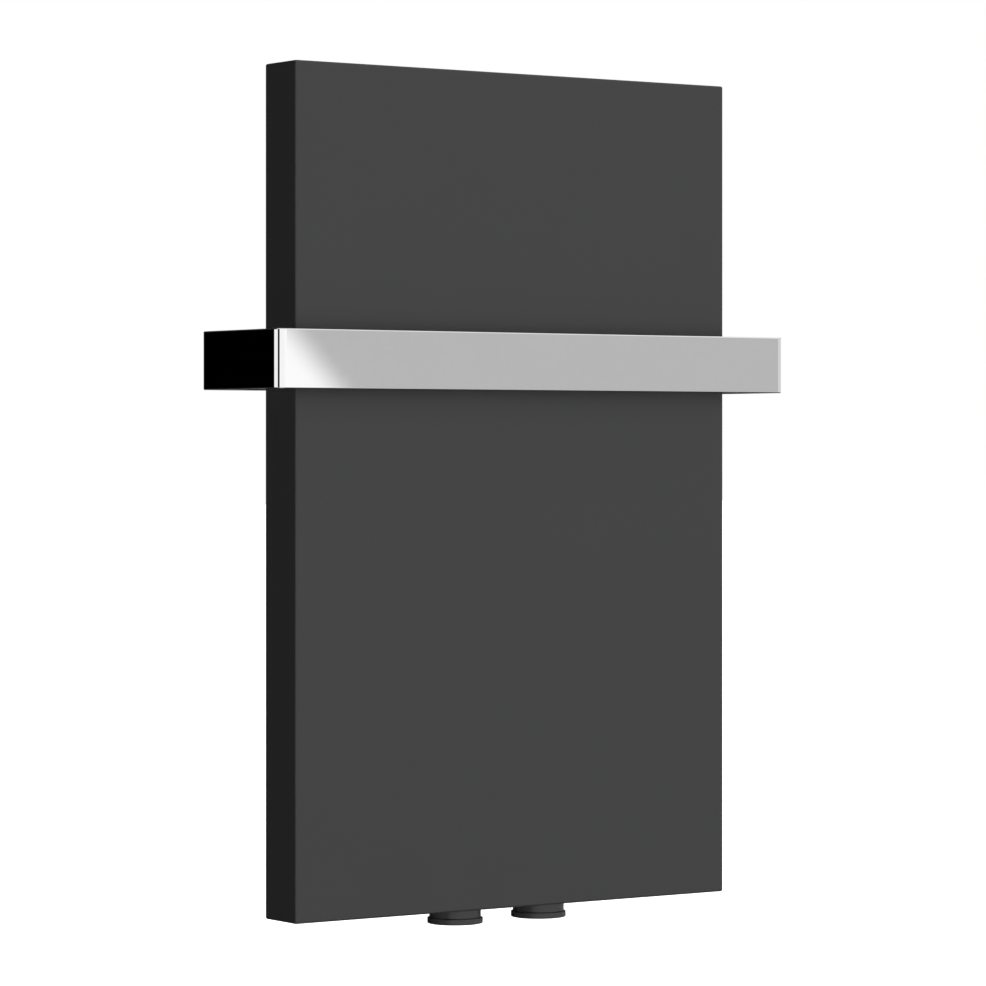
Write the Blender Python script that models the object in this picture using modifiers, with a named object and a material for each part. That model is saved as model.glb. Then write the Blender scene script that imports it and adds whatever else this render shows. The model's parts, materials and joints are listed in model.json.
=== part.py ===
"""Wall-hung flat-panel water radiator with a chrome towel rail and two hand-wheel valves.

Metres, +Z up. The origin lies on the wall plane, in the middle of the panel's width and level with its
lower edge. The wall is at y = 0, the panel's front faces -Y, and +X is to the right seen from the front.
"""

import math

import bmesh
import bpy
from mathutils import Matrix

# Driving dimensions.
PANEL_HEIGHT = 0.800
PANEL_WIDTH = 0.500
PANEL_DEPTH = 0.054
WALL_GAP = 0.0442
SHEET = 0.0015
EDGE_RADIUS = 0.002
REAR_LIP = 0.008

RAIL_WIDTH = 0.588
RAIL_HEIGHT = 0.055
RAIL_THICKNESS = 0.005
RAIL_STANDOFF = 0.0421
RAIL_BOTTOM = 0.495
RAIL_CORNER_RADIUS = 0.0083
RAIL_FOOT_LENGTH = 0.070

VALVE_SPACING = 0.0978
VALVE_DEPTH = 0.0338
KNOB_RIM_RADIUS = 0.0267
KNOB_SKIRT_RADIUS = 0.0248
KNOB_BOTTOM = -0.0146
KNOB_RIM_TOP = -0.0086
KNOB_TOP = 0.014
PORT_Z = 0.045
PORT_END = 0.026
SEAT = 0.0516

TUBE_COUNT = 6
TUBE_WIDTH = 0.070
TUBE_DEPTH = 0.011
TUBE_PITCH = 0.074
TUBE_WALL = 0.0015
TUBE_BOTTOM = 0.062
TUBE_TOP = 0.772
PORT_LENGTH = 0.036
PORT_HEIGHT = 0.008

COLLECTOR_DEPTH = 0.035
COLLECTOR_HEIGHT = 0.030
COLLECTOR_HALF_LENGTH = 0.2205
COLLECTOR_WALL = 0.002
LOWER_COLLECTOR_BOTTOM = 0.0663
UPPER_COLLECTOR_BOTTOM = 0.738

CHANNEL_WIDTH = 0.025
CHANNEL_SHEET = 0.002
CHANNEL_BOTTOM = 0.020
CHANNEL_TOP = 0.780

SLOTS_PER_ROW = 8
SLOT_LENGTH = 0.044
SLOT_WIDTH = 0.008
SLOT_PITCH = 0.056
SLOT_ROW_OFFSET = 0.009
SLOT_FREE_HALF_WIDTH = 0.100

WAVE_COUNT = 16
WAVE_PITCH = 0.027
WAVE_SHEET = 0.0008
WAVE_MARGIN = 0.004

VENT_BASE = 0.0018
VENT_HEX = 0.017
BODY_RADIUS = 0.015
BODY_BOTTOM = 0.0263
SPIGOT_RADIUS = 0.010
BONNET_HEX = 0.027
UNION_HEX = 0.032
SPINDLE_RADIUS = 0.003
DISC_RADIUS = 0.007

BRACKET_X = 0.180
BRACKET_THICKNESS = 0.003
BRACKET_PLATE_HEIGHT = 0.060
HOOK_HEIGHT = 0.018

# The gap kept between two pieces that touch on the real object.
GAP = 0.0003
ROUND = 24
SMALL_ROUND = 16
KNOB_ROUND = 40

# Planes that follow from them.
FRONT = -(WALL_GAP + PANEL_DEPTH)
BACK = -WALL_GAP
VALVE_Y = FRONT + VALVE_DEPTH
VALVE_X = {"supply": -VALVE_SPACING / 2, "return": VALVE_SPACING / 2}
COLLECTOR_FRONT = VALVE_Y - COLLECTOR_DEPTH / 2
COLLECTOR_BACK = VALVE_Y + COLLECTOR_DEPTH / 2
TUBE_Y = COLLECTOR_FRONT - GAP - TUBE_DEPTH / 2
TUBE_XS = [(i - (TUBE_COUNT - 1) / 2) * TUBE_PITCH for i in range(TUBE_COUNT)]
LOWER_COLLECTOR_Z = LOWER_COLLECTOR_BOTTOM + COLLECTOR_HEIGHT / 2
UPPER_COLLECTOR_Z = UPPER_COLLECTOR_BOTTOM + COLLECTOR_HEIGHT / 2
RAIL_Z = RAIL_BOTTOM + RAIL_HEIGHT / 2
INNER_HALF_WIDTH = PANEL_WIDTH / 2 - SHEET

ALONG_Y = Matrix.Rotation(math.radians(-90), 4, "X")
OUTLINE_YZ = Matrix.Rotation(math.radians(90), 4, "Z") @ Matrix.Rotation(math.radians(90), 4, "X")

MATERIALS = {
    "powder_coat": ((0.060, 0.060, 0.063), 0.45, 0.2),
    "steel_coated": ((0.075, 0.075, 0.078), 0.5, 0.2),
    "zinc_steel": ((0.55, 0.56, 0.57), 0.35, 1.0),
    "chrome": ((0.80, 0.80, 0.81), 0.06, 1.0),
    "nickel_brass": ((0.62, 0.60, 0.55), 0.25, 1.0),
    "brass": ((0.72, 0.52, 0.22), 0.3, 1.0),
    "stainless": ((0.58, 0.58, 0.57), 0.25, 1.0),
    "knob_plastic": ((0.055, 0.055, 0.058), 0.35, 0.0),
    "rubber": ((0.02, 0.02, 0.02), 0.8, 0.0),
}


# ---------------------------------------------------------------- tools


def clear_scene():
    for obj in list(bpy.data.objects):
        bpy.data.objects.remove(obj, do_unlink=True)


def new_collection(name, hidden=False):
    collection = bpy.data.collections.new(name)
    collection.hide_render = hidden
    bpy.context.scene.collection.children.link(collection)
    return collection


def make_materials():
    made = {}
    for name, (colour, roughness, metallic) in MATERIALS.items():
        material = bpy.data.materials.new(name)
        material.use_nodes = True
        shader = material.node_tree.nodes["Principled BSDF"]
        shader.inputs["Base Color"].default_value = (*colour, 1)
        shader.inputs["Roughness"].default_value = roughness
        shader.inputs["Metallic"].default_value = metallic
        made[name] = material
    return made


clear_scene()
PARTS = new_collection("flat_panel_radiator")
CUTTERS = new_collection("cutters", hidden=True)
MATERIAL = make_materials()


def link_part(name, data, material, matrix=None):
    """A finished sub-part: one object in the parts collection, placed by its matrix."""
    obj = bpy.data.objects.new(name, data)
    data.materials.clear()
    data.materials.append(MATERIAL[material])
    obj.matrix_world = matrix or Matrix()
    PARTS.objects.link(obj)
    return obj


def link_blank(data, matrix=None):
    """A blank or a cutter: never drawn and never a node."""
    obj = bpy.data.objects.new(data.name + "_blank", data)
    obj.matrix_world = matrix or Matrix()
    obj.hide_render = True
    obj.display_type = "WIRE"
    CUTTERS.objects.link(obj)
    return obj


def mesh_from(obj, weld=1e-6):
    """The mesh of an object with its modifiers applied, in the object's own space."""
    bpy.context.view_layer.update()
    evaluated = obj.evaluated_get(bpy.context.evaluated_depsgraph_get())
    mesh = bpy.data.meshes.new_from_object(evaluated)
    work = bmesh.new()
    work.from_mesh(mesh)
    bmesh.ops.remove_doubles(work, verts=work.verts, dist=weld)
    work.to_mesh(mesh)
    work.free()
    return mesh


def box_mesh(name, size, centre=(0, 0, 0)):
    mesh = bpy.data.meshes.new(name)
    work = bmesh.new()
    place = Matrix.Translation(centre) @ Matrix.Diagonal((*size, 1))
    bmesh.ops.create_cube(work, size=1, matrix=place)
    work.to_mesh(mesh)
    work.free()
    return mesh


def cylinder_mesh(name, radius, bottom, top, segments=ROUND):
    mesh = bpy.data.meshes.new(name)
    work = bmesh.new()
    place = Matrix.Translation((0, 0, (bottom + top) / 2))
    bmesh.ops.create_cone(
        work,
        cap_ends=True,
        segments=segments,
        radius1=radius,
        radius2=radius,
        depth=top - bottom,
        matrix=place,
    )
    work.to_mesh(mesh)
    work.free()
    return mesh


def hex_mesh(name, across_flats, bottom, top):
    return cylinder_mesh(name, across_flats / math.sqrt(3), bottom, top, segments=6)


def turned_mesh(name, profile, segments=ROUND, ring=False):
    """A turned shape. The profile holds (radius, height) points and runs down the outer side."""
    profile_mesh = bpy.data.meshes.new(name)
    work = bmesh.new()
    points = [work.verts.new((radius, 0, height)) for radius, height in profile]
    for first, second in zip(points, points[1:]):
        work.edges.new((first, second))
    if ring:
        work.edges.new((points[-1], points[0]))
    work.to_mesh(profile_mesh)
    work.free()
    blank = link_blank(profile_mesh)
    screw = blank.modifiers.new("turn", "SCREW")
    screw.steps = segments
    screw.render_steps = segments
    screw.use_merge_vertices = True
    screw.merge_threshold = 0.00001
    mesh = mesh_from(blank)
    bpy.data.objects.remove(blank, do_unlink=True)
    mesh.name = name
    return mesh


def prism_mesh(name, outline, thickness):
    """A flat outline with the given thickness, centred on its own XY plane."""
    curve = bpy.data.curves.new(name, "CURVE")
    curve.dimensions = "2D"
    curve.fill_mode = "BOTH"
    curve.extrude = thickness / 2
    spline = curve.splines.new("POLY")
    spline.points.add(len(outline) - 1)
    for point, (x, y) in zip(spline.points, outline):
        point.co = (x, y, 0, 1)
    spline.use_cyclic_u = True
    blank = link_blank(curve)
    mesh = mesh_from(blank, weld=1e-5)
    bpy.data.objects.remove(blank, do_unlink=True)
    mesh.name = name
    return mesh


def combined(mesh, steps):
    """The mesh after each (operation, mesh, matrix) of a list of Booleans."""
    blank = link_blank(mesh)
    for number, (operation, tool, matrix) in enumerate(steps):
        cutter = link_blank(tool, matrix)
        boolean = blank.modifiers.new(f"step_{number}", "BOOLEAN")
        boolean.operation = operation
        boolean.object = cutter
    result = mesh_from(blank)
    result.name = mesh.name
    for obj in list(CUTTERS.objects):
        bpy.data.objects.remove(obj, do_unlink=True)
    return result


def rounded(mesh, width, segments=2, angle=30):
    """The mesh with its sharp edges rounded."""
    blank = link_blank(mesh)
    bevel = blank.modifiers.new("round", "BEVEL")
    bevel.width = width
    bevel.segments = segments
    bevel.limit_method = "ANGLE"
    bevel.angle_limit = math.radians(angle)
    result = mesh_from(blank)
    result.name = mesh.name
    bpy.data.objects.remove(blank, do_unlink=True)
    return result


def smooth(mesh, angle=35):
    mesh.shade_smooth()
    mesh.set_sharp_from_angle(angle=math.radians(angle))
    return mesh


def arc(centre, radius, start, end, steps):
    """Points along an arc, angles in degrees, both ends included."""
    angles = [math.radians(start + (end - start) * i / steps) for i in range(steps + 1)]
    return [(centre[0] + radius * math.cos(a), centre[1] + radius * math.sin(a)) for a in angles]


def slot_outline(length, width, steps=3):
    """A slot with round ends, its length along X."""
    reach = (length - width) / 2
    right = arc((reach, 0), width / 2, -90, 90, steps * 2)
    left = arc((-reach, 0), width / 2, 90, 270, steps * 2)
    return right + left


# ---------------------------------------------------------------- casing


def bent_tray(name):
    """The folded sheet: front, four sides and a narrow lip turned in along the back."""
    size = (PANEL_WIDTH, PANEL_DEPTH, PANEL_HEIGHT)
    centre = (0, (FRONT + BACK) / 2, PANEL_HEIGHT / 2)
    mesh = box_mesh(name, size, centre)
    work = bmesh.new()
    work.from_mesh(mesh)
    work.faces.ensure_lookup_table()
    back = [face for face in work.faces if face.normal.y > 0.9]
    bmesh.ops.inset_region(work, faces=back, thickness=REAR_LIP)
    bmesh.ops.delete(work, geom=back, context="FACES")
    work.to_mesh(mesh)
    work.free()
    mesh = rounded(mesh, EDGE_RADIUS, segments=3, angle=60)
    blank = link_blank(mesh)
    shell = blank.modifiers.new("sheet", "SOLIDIFY")
    shell.thickness = SHEET
    shell.offset = -1
    shell.use_even_offset = True
    result = mesh_from(blank)
    result.name = name
    bpy.data.objects.remove(blank, do_unlink=True)
    return result


def front_cover():
    """The casing with its air slots, the lower ones only beside the valves, and a notch round each knob."""
    slot = prism_mesh("slot", slot_outline(SLOT_LENGTH, SLOT_WIDTH), 0.020)
    steps = []
    for y in (VALVE_Y - SLOT_ROW_OFFSET, VALVE_Y + SLOT_ROW_OFFSET):
        for i in range(SLOTS_PER_ROW):
            x = (i - (SLOTS_PER_ROW - 1) / 2) * SLOT_PITCH
            steps.append(("DIFFERENCE", slot, Matrix.Translation((x, y, PANEL_HEIGHT))))
            if abs(x) > SLOT_FREE_HALF_WIDTH:
                steps.append(("DIFFERENCE", slot, Matrix.Translation((x, y, 0))))
    notch_radius = KNOB_SKIRT_RADIUS + 0.0015
    behind = PANEL_DEPTH
    front_half = arc((0, 0), notch_radius, 180, 360, 16)
    notch = [(-notch_radius, behind)] + front_half + [(notch_radius, behind)]
    notch_mesh = prism_mesh("notch", notch, 0.020)
    for x in VALVE_X.values():
        steps.append(("DIFFERENCE", notch_mesh, Matrix.Translation((x, VALVE_Y, 0))))
    link_part("front_cover", smooth(combined(bent_tray("front_cover"), steps)), "powder_coat")


def side_channels():
    """Folded channels along both sides: they stiffen the cover and carry the towel rail."""
    y0 = COLLECTOR_FRONT
    y1 = BACK - SHEET - GAP
    t = CHANNEL_SHEET
    outer = INNER_HALF_WIDTH - GAP
    inner = outer - CHANNEL_WIDTH
    for side, sign in (("left", -1), ("right", 1)):
        outline = [
            (inner, y0),
            (outer, y0),
            (outer, y1),
            (inner, y1),
            (inner, y1 - t),
            (outer - t, y1 - t),
            (outer - t, y0 + t),
            (inner, y0 + t),
        ]
        outline = [(sign * x, y) for x, y in outline]
        mesh = prism_mesh(f"{side}_channel", outline, CHANNEL_TOP - CHANNEL_BOTTOM)
        place = Matrix.Translation((0, 0, (CHANNEL_TOP + CHANNEL_BOTTOM) / 2))
        link_part(f"{side}_side_channel", mesh, "steel_coated", place)


# ---------------------------------------------------------------- waterways


def water_tubes():
    """Flat vertical tubes, closed at both ends and open into the collectors behind them."""
    height = TUBE_TOP - TUBE_BOTTOM
    outer = prism_mesh("water_tube", slot_outline(TUBE_WIDTH, TUBE_DEPTH), height)
    hollow = slot_outline(TUBE_WIDTH - 2 * TUBE_WALL, TUBE_DEPTH - 2 * TUBE_WALL)
    inner = prism_mesh("bore", hollow, height - 4 * TUBE_WALL)
    port = box_mesh("port", (PORT_LENGTH, TUBE_DEPTH, PORT_HEIGHT))
    middle = (TUBE_TOP + TUBE_BOTTOM) / 2
    steps = [("DIFFERENCE", inner, Matrix())]
    for z in (LOWER_COLLECTOR_Z, UPPER_COLLECTOR_Z):
        steps.append(("DIFFERENCE", port, Matrix.Translation((0, TUBE_DEPTH / 2, z - middle))))
    mesh = smooth(combined(outer, steps))
    for number, x in enumerate(TUBE_XS, 1):
        place = Matrix.Translation((x, TUBE_Y, middle))
        link_part(f"water_tube_{number}", mesh, "steel_coated", place)


def collector_mesh(name, drillings):
    """A rectangular tube, open at both ends, with a port behind every water tube."""
    length = 2 * COLLECTOR_HALF_LENGTH
    walls = 2 * COLLECTOR_WALL
    size = (length, COLLECTOR_DEPTH, COLLECTOR_HEIGHT)
    bore = (length + 0.010, COLLECTOR_DEPTH - walls, COLLECTOR_HEIGHT - walls)
    port = box_mesh("port", (PORT_LENGTH, 0.010, PORT_HEIGHT))
    steps = [("DIFFERENCE", box_mesh("bore", bore), Matrix())]
    for x in TUBE_XS:
        steps.append(("DIFFERENCE", port, Matrix.Translation((x, -COLLECTOR_DEPTH / 2, 0))))
    steps += drillings
    return combined(box_mesh(name, size), steps)


def collectors():
    """Lower and upper collector, their end caps and the baffle that parts supply from return."""
    spigot_hole = cylinder_mesh("spigot_hole", SPIGOT_RADIUS + GAP, -0.01, 0.01)
    vent_hole = cylinder_mesh("vent_hole", 0.0063, -0.01, 0.01, SMALL_ROUND)
    below = -COLLECTOR_HEIGHT / 2
    drillings = [("DIFFERENCE", spigot_hole, Matrix.Translation((x, 0, below))) for x in VALVE_X.values()]
    lower = collector_mesh("lower_collector", drillings)
    lower_place = Matrix.Translation((0, VALVE_Y, LOWER_COLLECTOR_Z))
    link_part("lower_collector", lower, "steel_coated", lower_place)
    drillings = [("DIFFERENCE", vent_hole, Matrix.Translation((BRACKET_X, 0, -below)))]
    upper = collector_mesh("upper_collector", drillings)
    upper_place = Matrix.Translation((0, VALVE_Y, UPPER_COLLECTOR_Z))
    link_part("upper_collector", upper, "steel_coated", upper_place)

    cap_thickness = 0.002
    cap = box_mesh("collector_cap", (cap_thickness, COLLECTOR_DEPTH, COLLECTOR_HEIGHT))
    cap_x = COLLECTOR_HALF_LENGTH + GAP + cap_thickness / 2
    for level, z in (("lower", LOWER_COLLECTOR_Z), ("upper", UPPER_COLLECTOR_Z)):
        for side, sign in (("left", -1), ("right", 1)):
            place = Matrix.Translation((sign * cap_x, VALVE_Y, z))
            link_part(f"{level}_{side}_end_cap", cap, "steel_coated", place)

    slack = 2 * COLLECTOR_WALL + 2 * GAP
    baffle = box_mesh("baffle", (0.002, COLLECTOR_DEPTH - slack, COLLECTOR_HEIGHT - slack))
    link_part("flow_baffle", baffle, "steel_coated", lower_place)


def convector():
    """A corrugated sheet behind the water tubes, between the two collectors."""
    front = TUBE_Y + TUBE_DEPTH / 2 + GAP + WAVE_SHEET
    rear = COLLECTOR_BACK - WAVE_MARGIN
    flat = 0.35 * WAVE_PITCH
    slope = 0.15 * WAVE_PITCH
    bottom = LOWER_COLLECTOR_BOTTOM + COLLECTOR_HEIGHT + WAVE_MARGIN
    top = UPPER_COLLECTOR_BOTTOM - WAVE_MARGIN
    mesh = bpy.data.meshes.new("convector_sheet")
    work = bmesh.new()
    line = []
    for wave in range(WAVE_COUNT):
        x = (wave - WAVE_COUNT / 2) * WAVE_PITCH
        for dx, y in ((0, front), (flat, front), (flat + slope, rear), (2 * flat + slope, rear)):
            line.append(work.verts.new((x + dx, y, bottom)))
    line.append(work.verts.new((WAVE_COUNT / 2 * WAVE_PITCH, front, bottom)))
    edges = [work.edges.new(pair) for pair in zip(line, line[1:])]
    raised = bmesh.ops.extrude_edge_only(work, edges=edges)["geom"]
    moved = [item for item in raised if isinstance(item, bmesh.types.BMVert)]
    bmesh.ops.translate(work, verts=moved, vec=(0, 0, top - bottom))
    work.to_mesh(mesh)
    work.free()
    obj = link_part("convector_sheet", mesh, "steel_coated")
    shell = obj.modifiers.new("sheet", "SOLIDIFY")
    shell.thickness = WAVE_SHEET
    shell.offset = 0
    shell.use_even_offset = True


def air_vent():
    """Bleed valve in the top of the upper collector: body, sealing ring and bleed screw."""
    seat = UPPER_COLLECTOR_BOTTOM + COLLECTOR_HEIGHT
    place = Matrix.Translation((BRACKET_X, VALVE_Y, seat))
    section = [(0.0085, VENT_BASE), (0.0085, GAP), (0.0064, GAP), (0.0064, VENT_BASE)]
    gasket = turned_mesh("air_vent_gasket", section, SMALL_ROUND, ring=True)
    link_part("air_vent_gasket", smooth(gasket), "rubber", place)

    base = VENT_BASE + GAP
    spigot_profile = [
        (0, 0.0125),
        (0.0065, 0.0125),
        (0.0065, base + 0.001),
        (0.006, base + 0.001),
        (0.006, -0.004),
        (0, -0.004),
    ]
    spigot = turned_mesh("air_vent_body", spigot_profile, SMALL_ROUND)
    hexagon = hex_mesh("hexagon", VENT_HEX, base, base + 0.005)
    bore_profile = [
        (0, 0.020),
        (0.0028, 0.020),
        (0.0028, 0.003),
        (0.0012, 0.0014),
        (0.0012, -0.010),
        (0, -0.010),
    ]
    bore = turned_mesh("vent_bore", bore_profile, SMALL_ROUND)
    steps = [("UNION", hexagon, Matrix()), ("DIFFERENCE", bore, Matrix())]
    link_part("air_vent_body", smooth(combined(spigot, steps)), "nickel_brass", place)

    screw_profile = [
        (0, 0.019),
        (0.0042, 0.019),
        (0.0048, 0.0182),
        (0.0048, 0.0129),
        (0.0025, 0.0129),
        (0.0025, 0.0045),
        (0, 0.002),
    ]
    slot = box_mesh("slot", (0.02, 0.0014, 0.004), (0, 0, 0.019))
    screw = combined(turned_mesh("bleed_screw", screw_profile, SMALL_ROUND), [("DIFFERENCE", slot, Matrix())])
    link_part("bleed_screw", smooth(screw), "brass", place)


# ---------------------------------------------------------------- valves


def valve_body(side, place):
    """Brass body: mouth below for the bonnet, seat inside, port to the wall, spigot into the collector."""
    top = LOWER_COLLECTOR_BOTTOM - GAP
    outer = turned_mesh(
        f"{side}_valve_body",
        [
            (0, top + 0.004),
            (SPIGOT_RADIUS, top + 0.004),
            (SPIGOT_RADIUS, top),
            (BODY_RADIUS - 0.002, top),
            (BODY_RADIUS, top - 0.004),
            (BODY_RADIUS, BODY_BOTTOM + 0.002),
            (BODY_RADIUS - 0.001, BODY_BOTTOM),
            (0, BODY_BOTTOM),
        ],
    )
    port = cylinder_mesh("port", 0.012, 0, PORT_END)
    bore = turned_mesh(
        "bore",
        [
            (0, 0.080),
            (0.0075, 0.080),
            (0.0075, SEAT + 0.0035),
            (0.0055, SEAT + 0.0015),
            (0.0055, SEAT),
            (0.011, SEAT),
            (0.011, 0.020),
            (0, 0.020),
        ],
    )
    port_bore = cylinder_mesh("port_bore", 0.007, 0, 0.040, SMALL_ROUND)
    across = Matrix.Translation((0, 0, PORT_Z)) @ ALONG_Y
    steps = [("UNION", port, across), ("DIFFERENCE", bore, Matrix()), ("DIFFERENCE", port_bore, across)]
    link_part(f"{side}_valve_body", smooth(combined(outer, steps)), "nickel_brass", place)


def bonnet(side, place):
    """Headwork: screws into the body, guides the spindle and carries the drive nut."""
    outer = turned_mesh(
        f"{side}_bonnet",
        [(0, 0.0395), (0.0107, 0.0395), (0.0107, 0.024), (0.009, 0.024), (0.009, 0.0083), (0, 0.0083)],
    )
    hexagon = hex_mesh("hexagon", BONNET_HEX, 0.020, BODY_BOTTOM - GAP)
    bore = turned_mesh(
        "bore",
        [
            (0, 0.050),
            (0.0056, 0.050),
            (0.0056, 0.0365),
            (0.0033, 0.0365),
            (0.0033, 0.0185),
            (0.0063, 0.0185),
            (0.0063, 0.000),
            (0, 0.000),
        ],
        SMALL_ROUND,
    )
    steps = [("UNION", hexagon, Matrix()), ("DIFFERENCE", bore, Matrix())]
    link_part(f"{side}_bonnet", smooth(combined(outer, steps)), "nickel_brass", place)


def spindle_parts(side, place):
    """Spindle, its rubber seat disc and the ring that seals it in the bonnet."""
    flange = SEAT - 0.0056
    spindle = turned_mesh(
        f"{side}_spindle",
        [
            (0, SEAT + 0.0014),
            (0.002, SEAT + 0.0014),
            (0.002, flange + 0.002),
            (DISC_RADIUS, flange + 0.002),
            (DISC_RADIUS, flange),
            (SPINDLE_RADIUS, flange),
            (SPINDLE_RADIUS, 0.0178),
            (0.004, 0.0173),
            (0.004, 0.0095),
            (0.0035, 0.009),
            (0, 0.009),
        ],
        SMALL_ROUND,
    )
    link_part(f"{side}_spindle", smooth(spindle), "stainless", place)
    low = flange + 0.002 + GAP
    high = SEAT - GAP
    section = [(DISC_RADIUS, high), (DISC_RADIUS, low), (0.0023, low), (0.0023, high)]
    disc = turned_mesh(f"{side}_seat_disc", section, SMALL_ROUND, ring=True)
    link_part(f"{side}_seat_disc", smooth(disc), "rubber", place)
    section = arc((0.00435, 0.038), 0.001, 90, -225, 7)
    ring = turned_mesh(f"{side}_spindle_seal", section, SMALL_ROUND, ring=True)
    link_part(f"{side}_spindle_seal", smooth(ring, 80), "rubber", place)


def drive_parts(side, place):
    """The nut that the knob turns, and the collar that keeps the nut on the bonnet."""
    bore = cylinder_mesh("bore", 0.0043, 0.0035, 0.030)
    solid = turned_mesh(
        f"{side}_drive_nut",
        [
            (0, 0.018),
            (0.006, 0.018),
            (0.006, 0.008),
            (0.0085, 0.008),
            (0.0085, 0.005),
            (0.005, 0.005),
            (0.005, -0.006),
            (0, -0.006),
        ],
    )
    screw_hole = cylinder_mesh("screw_hole", 0.0023, -0.020, -0.0005, SMALL_ROUND)
    steps = [("DIFFERENCE", bore, Matrix()), ("DIFFERENCE", screw_hole, Matrix())]
    link_part(f"{side}_drive_nut", smooth(combined(solid, steps)), "brass", place)
    section = [
        (0.011, 0.012),
        (0.011, 0.0025),
        (0.0054, 0.0025),
        (0.0054, 0.0047),
        (0.0093, 0.0047),
        (0.0093, 0.012),
    ]
    collar = turned_mesh(f"{side}_nut_collar", section, ring=True)
    link_part(f"{side}_nut_collar", smooth(collar), "zinc_steel", place)


def knob_parts(side, place):
    """Hand wheel: a cup with a wider rim round its lower end, its screw and its snap-in cap."""
    chamfer = 0.0006
    wall = 0.0025
    section = [
        (KNOB_SKIRT_RADIUS, KNOB_TOP),
        (KNOB_SKIRT_RADIUS, KNOB_RIM_TOP),
        (KNOB_RIM_RADIUS - chamfer, KNOB_RIM_TOP),
        (KNOB_RIM_RADIUS, KNOB_RIM_TOP - chamfer),
        (KNOB_RIM_RADIUS, KNOB_BOTTOM + chamfer),
        (KNOB_RIM_RADIUS - chamfer, KNOB_BOTTOM),
        (0.0093, KNOB_BOTTOM),
        (0.0093, KNOB_BOTTOM + 0.002),
        (0.004, KNOB_BOTTOM + 0.002),
        (0.004, KNOB_BOTTOM + 0.0049),
        (0.0023, KNOB_BOTTOM + 0.0049),
        (0.0023, -0.0063),
        (0.0053, -0.0063),
        (0.0053, 0.001),
        (0.008, 0.001),
        (0.008, KNOB_BOTTOM + 0.0055),
        (KNOB_SKIRT_RADIUS - wall, KNOB_BOTTOM + 0.0055),
        (KNOB_SKIRT_RADIUS - wall, KNOB_TOP),
    ]
    knob = turned_mesh(f"{side}_knob", section, KNOB_ROUND, ring=True)
    link_part(f"{side}_knob", smooth(knob), "knob_plastic", place)
    head_low = KNOB_BOTTOM + 0.002 + GAP
    screw = turned_mesh(
        f"{side}_knob_screw",
        [
            (0, -0.001),
            (0.002, -0.001),
            (0.002, KNOB_BOTTOM + 0.0046),
            (0.0037, KNOB_BOTTOM + 0.0046),
            (0.0037, head_low),
            (0, head_low),
        ],
        SMALL_ROUND,
    )
    slot = box_mesh("slot", (0.02, 0.001, 0.002), (0, 0, head_low))
    screw = combined(screw, [("DIFFERENCE", slot, Matrix())])
    link_part(f"{side}_knob_screw", smooth(screw), "zinc_steel", place)
    cap_top = KNOB_BOTTOM + 0.002 - GAP
    cap_low = KNOB_BOTTOM + 0.0002
    profile = [(0, cap_top), (0.009, cap_top), (0.009, cap_low + 0.0004), (0.0086, cap_low), (0, cap_low)]
    link_part(f"{side}_knob_cap", smooth(turned_mesh(f"{side}_knob_cap", profile)), "knob_plastic", place)


def tail_parts(side, place):
    """Tail pipe to the wall and the union nut that holds it to the body's rear port."""
    across = place @ Matrix.Translation((0, 0, PORT_Z)) @ ALONG_Y
    near = PORT_END + GAP
    far = -VALVE_Y
    section = [
        (0.0104, far),
        (0.0104, near + 0.002),
        (0.012, near + 0.002),
        (0.012, near),
        (0.007, near),
        (0.007, far),
    ]
    tail = turned_mesh(f"{side}_tail", section, ring=True)
    link_part(f"{side}_tail", smooth(tail), "nickel_brass", across)
    shoulder = near + 0.002 + GAP
    hexagon = hex_mesh(f"{side}_union_nut", UNION_HEX, 0.0178, shoulder + 0.0035)
    profile = [(0, 0.060), (0.0107, 0.060), (0.0107, shoulder), (0.0123, shoulder), (0.0123, 0), (0, 0)]
    nut = combined(hexagon, [("DIFFERENCE", turned_mesh("bore", profile), Matrix())])
    link_part(f"{side}_union_nut", smooth(nut), "nickel_brass", across)


def valves():
    for side, x in VALVE_X.items():
        place = Matrix.Translation((x, VALVE_Y, 0))
        valve_body(side, place)
        bonnet(side, place)
        spindle_parts(side, place)
        drive_parts(side, place)
        knob_parts(side, place)
        tail_parts(side, place)


# ---------------------------------------------------------------- hanging and towel rail


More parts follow.
